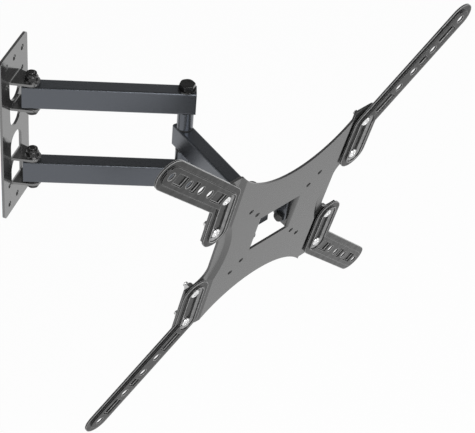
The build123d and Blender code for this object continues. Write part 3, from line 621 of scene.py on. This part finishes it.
world = bpy.data.worlds.new("studio")
bpy.context.scene.world = world
world.use_nodes = True
room = world.node_tree
room.nodes.clear()
path = Wire(room, room.nodes.new("ShaderNodeLightPath").outputs["Is Camera Ray"])
rays = path.socket.node.outputs
way = room.nodes.new("ShaderNodeSeparateXYZ")
room.links.new(room.nodes.new("ShaderNodeTexCoord").outputs["Generated"], way.inputs[0])
ceiling = ((Wire(room, way.outputs["Z"]) - CEILING_START) * CEILING_SLOPE).bounded(0.0, 1.0)
mirrored = Wire(room, rays["Is Glossy Ray"]) * (1.0 - ceiling * CEILING_DARKNESS)
seen = path.maths("MAXIMUM", path, mirrored)
seen = path.maths("MAXIMUM", seen, Wire(room, rays["Is Transmission Ray"]))
background = room.nodes.new("ShaderNodeBackground")
background.inputs["Color"].default_value = (1.0, 1.0, 1.0, 1.0)
lit = Wire(room, rays["Is Diffuse Ray"]) * DIFFUSE_LEVEL
strength = path.maths("MAXIMUM", seen, lit)
room.links.new(strength.socket, background.inputs["Strength"])
room.links.new(background.outputs[0], room.nodes.new("ShaderNodeOutputWorld").inputs["Surface"])


PAPER = (0.84, 0.84, 0.84, 1.0)
WHITE = (1.0, 1.0, 1.0, 1.0)
WHITE_SHARE = 0.95


def floor_finish():
    """White paper: mostly white to the camera and to reflections, with a soft shadow."""
    paper = Finish("studio_paper")
    view = paper.node("ShaderNodeLightPath", out="Is Camera Ray")
    others = view.socket.node.outputs
    seen = view.maths("MAXIMUM", view, Wire(paper.tree, others["Is Glossy Ray"]))
    seen = view.maths("MAXIMUM", seen, Wire(paper.tree, others["Is Transmission Ray"]))
    matt = paper.node("ShaderNodeBsdfDiffuse", {}, {"Color": PAPER})
    white = paper.node("ShaderNodeEmission", {}, {"Color": WHITE, "Strength": 1.0})
    mixed = paper.node("ShaderNodeMixShader", {}, {0: seen * WHITE_SHARE, 1: matt, 2: white})
    paper.node("ShaderNodeOutputMaterial", {}, {"Surface": mixed})
    return paper.material


FLOOR = -0.62
SPAN = 7.0
paper_mesh = bpy.data.meshes.new("studio_floor")
paper_mesh.from_pydata([(-SPAN, -SPAN, FLOOR), (SPAN, -SPAN, FLOOR),
                        (SPAN, SPAN, FLOOR), (-SPAN, SPAN, FLOOR)], [], [(0, 1, 2, 3)])
paper_mesh.materials.append(floor_finish())
floor = bpy.data.objects.new("studio_floor", paper_mesh)
bpy.context.scene.collection.objects.link(floor)
print("floor at", FLOOR)

# %% [markdown]
# ## Lamps
# One large soft lamp above the camera's left shoulder models the shapes, and a
# weaker one from the right fills the shadows. Large lamps give soft edges to
# light and shade, which is what makes satin paint look like satin.

# %% Soft boxes
MIDDLE = Vector((-0.05, -0.22, 0.0))


def soft_box(name, towards, distance, width, height, power):
    """Rectangular lamp in that direction from the mount, facing it."""
    lamp = bpy.data.lights.new(name, "AREA")
    lamp.shape = "RECTANGLE"
    lamp.size = width
    lamp.size_y = height
    lamp.energy = power
    box = bpy.data.objects.new(name, lamp)
    direction = Vector(towards).normalized()
    box.matrix_world = (-direction).to_track_quat("-Z", "Y").to_matrix().to_4x4()
    box.matrix_world.translation = MIDDLE + direction * distance
    bpy.context.scene.collection.objects.link(box)


soft_box("key_light", towards=(-0.75, -0.75, 0.9), distance=2.2,
         width=1.6, height=1.2, power=36.0)
soft_box("fill_light", towards=(0.5, -0.9, 0.5), distance=2.6,
         width=1.8, height=1.4, power=14.0)

# %% [markdown]
# ## The camera
# The photograph was taken from high on the left with a long lens. The camera's
# place was worked out from points on the head plate, the tubes and the wall
# plate. It is slightly rolled, as the photograph is.

# %% Camera
AZIMUTH, ELEVATION, ROLL = np.radians((-75.9, 40.37, -5.3))
CAMERA_PLACE = (-1.3138, -0.5923, 1.1069)
FOCAL_PIXELS = 1636.0
PICTURE_PIXELS = 475.0
SENSOR = 36.0

level_right = Vector((np.cos(AZIMUTH), np.sin(AZIMUTH), 0.0))
ahead = Vector((-np.sin(AZIMUTH) * np.cos(ELEVATION),
                np.cos(AZIMUTH) * np.cos(ELEVATION), -np.sin(ELEVATION)))
down = -level_right.cross(ahead)
right = level_right * np.cos(ROLL) + down * np.sin(ROLL)
lower = down * np.cos(ROLL) - level_right * np.sin(ROLL)
camera = bpy.data.objects.new("camera", bpy.data.cameras.new("camera"))
bpy.context.scene.collection.objects.link(camera)
bpy.context.scene.camera = camera
camera.data.sensor_width = SENSOR
camera.data.lens = FOCAL_PIXELS / PICTURE_PIXELS * SENSOR
camera.data.clip_start = 0.05
turn = Matrix((right, -lower, -ahead)).transposed().to_4x4()
camera.matrix_world = Matrix.Translation(CAMERA_PLACE) @ turn
bpy.context.scene.view_settings.view_transform = "Standard"
print("lens", round(camera.data.lens, 1))
